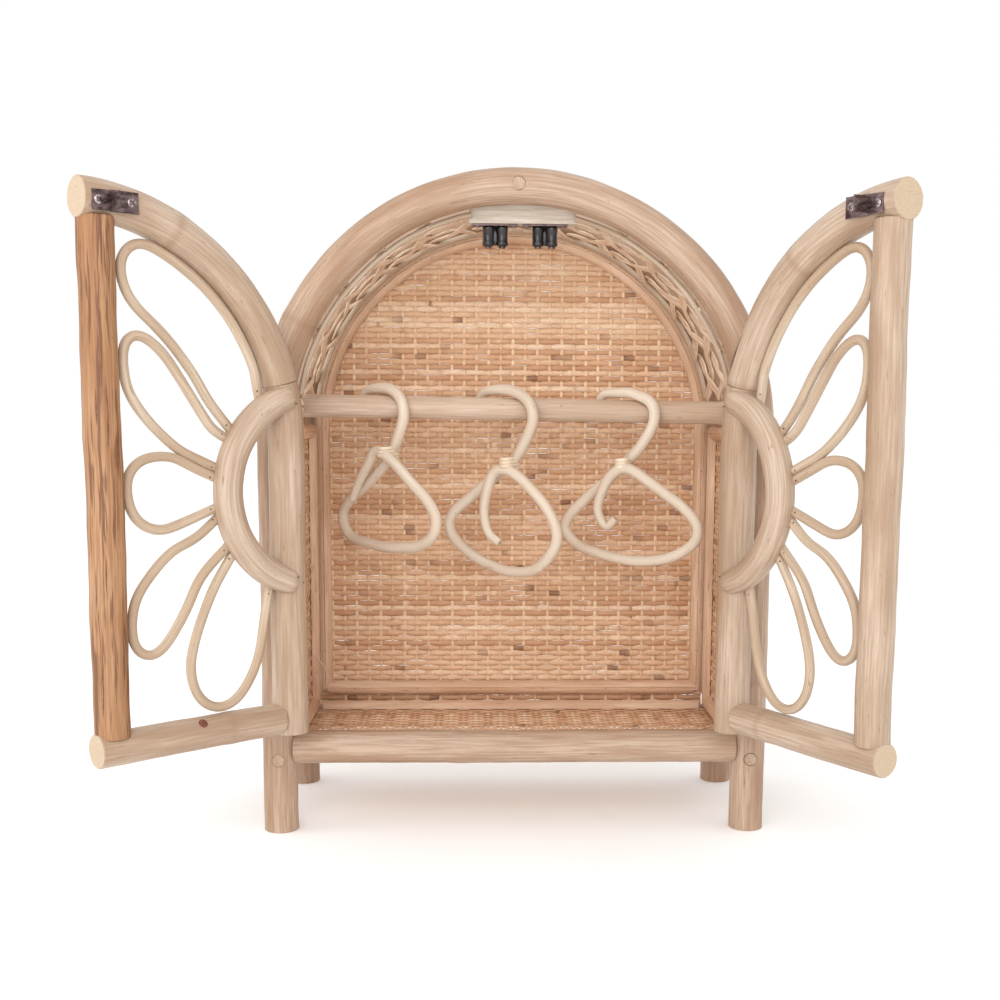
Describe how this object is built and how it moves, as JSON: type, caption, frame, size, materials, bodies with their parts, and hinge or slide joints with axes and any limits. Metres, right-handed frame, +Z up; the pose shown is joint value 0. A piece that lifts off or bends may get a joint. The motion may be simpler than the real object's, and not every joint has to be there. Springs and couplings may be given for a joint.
{
  "type": "miniature wardrobe",
  "caption": "Arched dolls' wardrobe in bent cane poles with woven panels, petal doors on butt hinges, roller catches, a hanging rail and cane hangers.",
  "frame": {"origin": "on the floor, under the middle of the whole object with its doors standing open", "axes": "+Z up, front towards -Y, +X to the right seen from the front"},
  "size_m": [0.5538, 0.3317, 0.5135],
  "materials": {
    "bent_pole": "sanded bent cane pole, satin",
    "bark_pole": "rough cane pole with streaks of bark left on",
    "half_round_trim": "half round cane moulding, satin",
    "woven_cane": "close plain weave of split cane",
    "open_weave": "open crossed weave of cane peel",
    "petal_cane": "thin round cane, satin",
    "hanger_cane": "pale round cane, smooth",
    "peel_binding": "thin cane peel wound round the neck",
    "pale_wood": "plain sawn wood",
    "dark_metal": "dark bronzed steel",
    "dark_plastic": "black roller plastic"
  },
  "bodies": {
    "cabinet": {"front_arch": "bent_pole", "rear_arch": "bent_pole", "front_rail": "bent_pole", "rear_rail": "bent_pole", "side_rails": "bent_pole", "cross_bars": "bent_pole", "hanging_rail": "bent_pole", "back_panel": "woven_cane", "floor_panel": "woven_cane", "left_side_panel": "woven_cane", "right_side_panel": "woven_cane", "roof_band": "open_weave", "roof_rims": "half_round_trim", "back_arch_trim": "half_round_trim", "back_bottom_trim": "half_round_trim", "floor_trim": "half_round_trim", "left_side_trim": "half_round_trim", "right_side_trim": "half_round_trim", "dowel_pegs": "pale_wood", "catch_block": "pale_wood", "catch_plates": "dark_metal", "catch_screws": "dark_metal", "cabinet_hinge_leaves": "dark_metal", "hinge_pins": "dark_metal"},
    "left_door": {"left_door_arch": "bent_pole", "left_hinge_stile": "bent_pole", "left_free_stile": "bark_pole", "left_bottom_rail": "bent_pole", "left_hub": "bent_pole", "left_petal_1": "petal_cane", "left_petal_2": "petal_cane", "left_petal_3": "petal_cane", "left_petal_4": "petal_cane", "left_petal_5": "petal_cane", "left_strike": "dark_metal", "left_strike_screws": "dark_metal", "left_hinge_leaves": "dark_metal"},
    "right_door": {"right_door_arch": "bent_pole", "right_hinge_stile": "bent_pole", "right_free_stile": "bent_pole", "right_bottom_rail": "bent_pole", "right_hub": "bent_pole", "right_petal_1": "petal_cane", "right_petal_2": "petal_cane", "right_petal_3": "petal_cane", "right_petal_4": "petal_cane", "right_petal_5": "petal_cane", "right_strike": "dark_metal", "right_strike_screws": "dark_metal", "right_hinge_leaves": "dark_metal"},
    "hanger_a": {"hanger_1": "hanger_cane", "hanger_binding_1": "peel_binding"},
    "hanger_b": {"hanger_2": "hanger_cane", "hanger_binding_2": "peel_binding"},
    "hanger_c": {"hanger_3": "hanger_cane", "hanger_binding_3": "peel_binding"},
    "catch_roller_1": {"roller_1": "dark_plastic"},
    "catch_roller_2": {"roller_2": "dark_plastic"},
    "catch_roller_3": {"roller_3": "dark_plastic"},
    "catch_roller_4": {"roller_4": "dark_plastic"}
  },
  "joints": [
    {"name": "left_door_hinge", "type": "hinge", "parent": "cabinet", "child": "left_door", "pos_m": [-0.15099, -0.00312, 0.213], "axis": [0, 0, -1], "range_deg": [-138, 32]},
    {"name": "right_door_hinge", "type": "hinge", "parent": "cabinet", "child": "right_door", "pos_m": [0.19301, -0.00312, 0.213], "axis": [0, 0, 1], "range_deg": [-120, 50]},
    {"name": "hanger_a_swing", "type": "hinge", "parent": "cabinet", "child": "hanger_a", "pos_m": [-0.08499, 0.08038, 0.3343], "axis": [-0.9999, 0, 0.0122], "range_deg": [-8, 25]},
    {"name": "hanger_b_swing", "type": "hinge", "parent": "cabinet", "child": "hanger_b", "pos_m": [0.01301, 0.08038, 0.3331], "axis": [-0.9999, 0, 0.0122], "range_deg": [-9, 25]},
    {"name": "hanger_c_swing", "type": "hinge", "parent": "cabinet", "child": "hanger_c", "pos_m": [0.11101, 0.08038, 0.3319], "axis": [-0.9999, 0, 0.0122], "range_deg": [-12, 25]},
    {"name": "roller_1_spin", "type": "hinge", "parent": "cabinet", "child": "catch_roller_1", "pos_m": [-0.00139, 0.03438, 0.465], "axis": [0, 0, 1], "continuous": true},
    {"name": "roller_2_spin", "type": "hinge", "parent": "cabinet", "child": "catch_roller_2", "pos_m": [0.00941, 0.03438, 0.465], "axis": [0, 0, 1], "continuous": true},
    {"name": "roller_3_spin", "type": "hinge", "parent": "cabinet", "child": "catch_roller_3", "pos_m": [0.03711, 0.03438, 0.465], "axis": [0, 0, 1], "continuous": true},
    {"name": "roller_4_spin", "type": "hinge", "parent": "cabinet", "child": "catch_roller_4", "pos_m": [0.04791, 0.03438, 0.465], "axis": [0, 0, 1], "continuous": true}
  ]
}
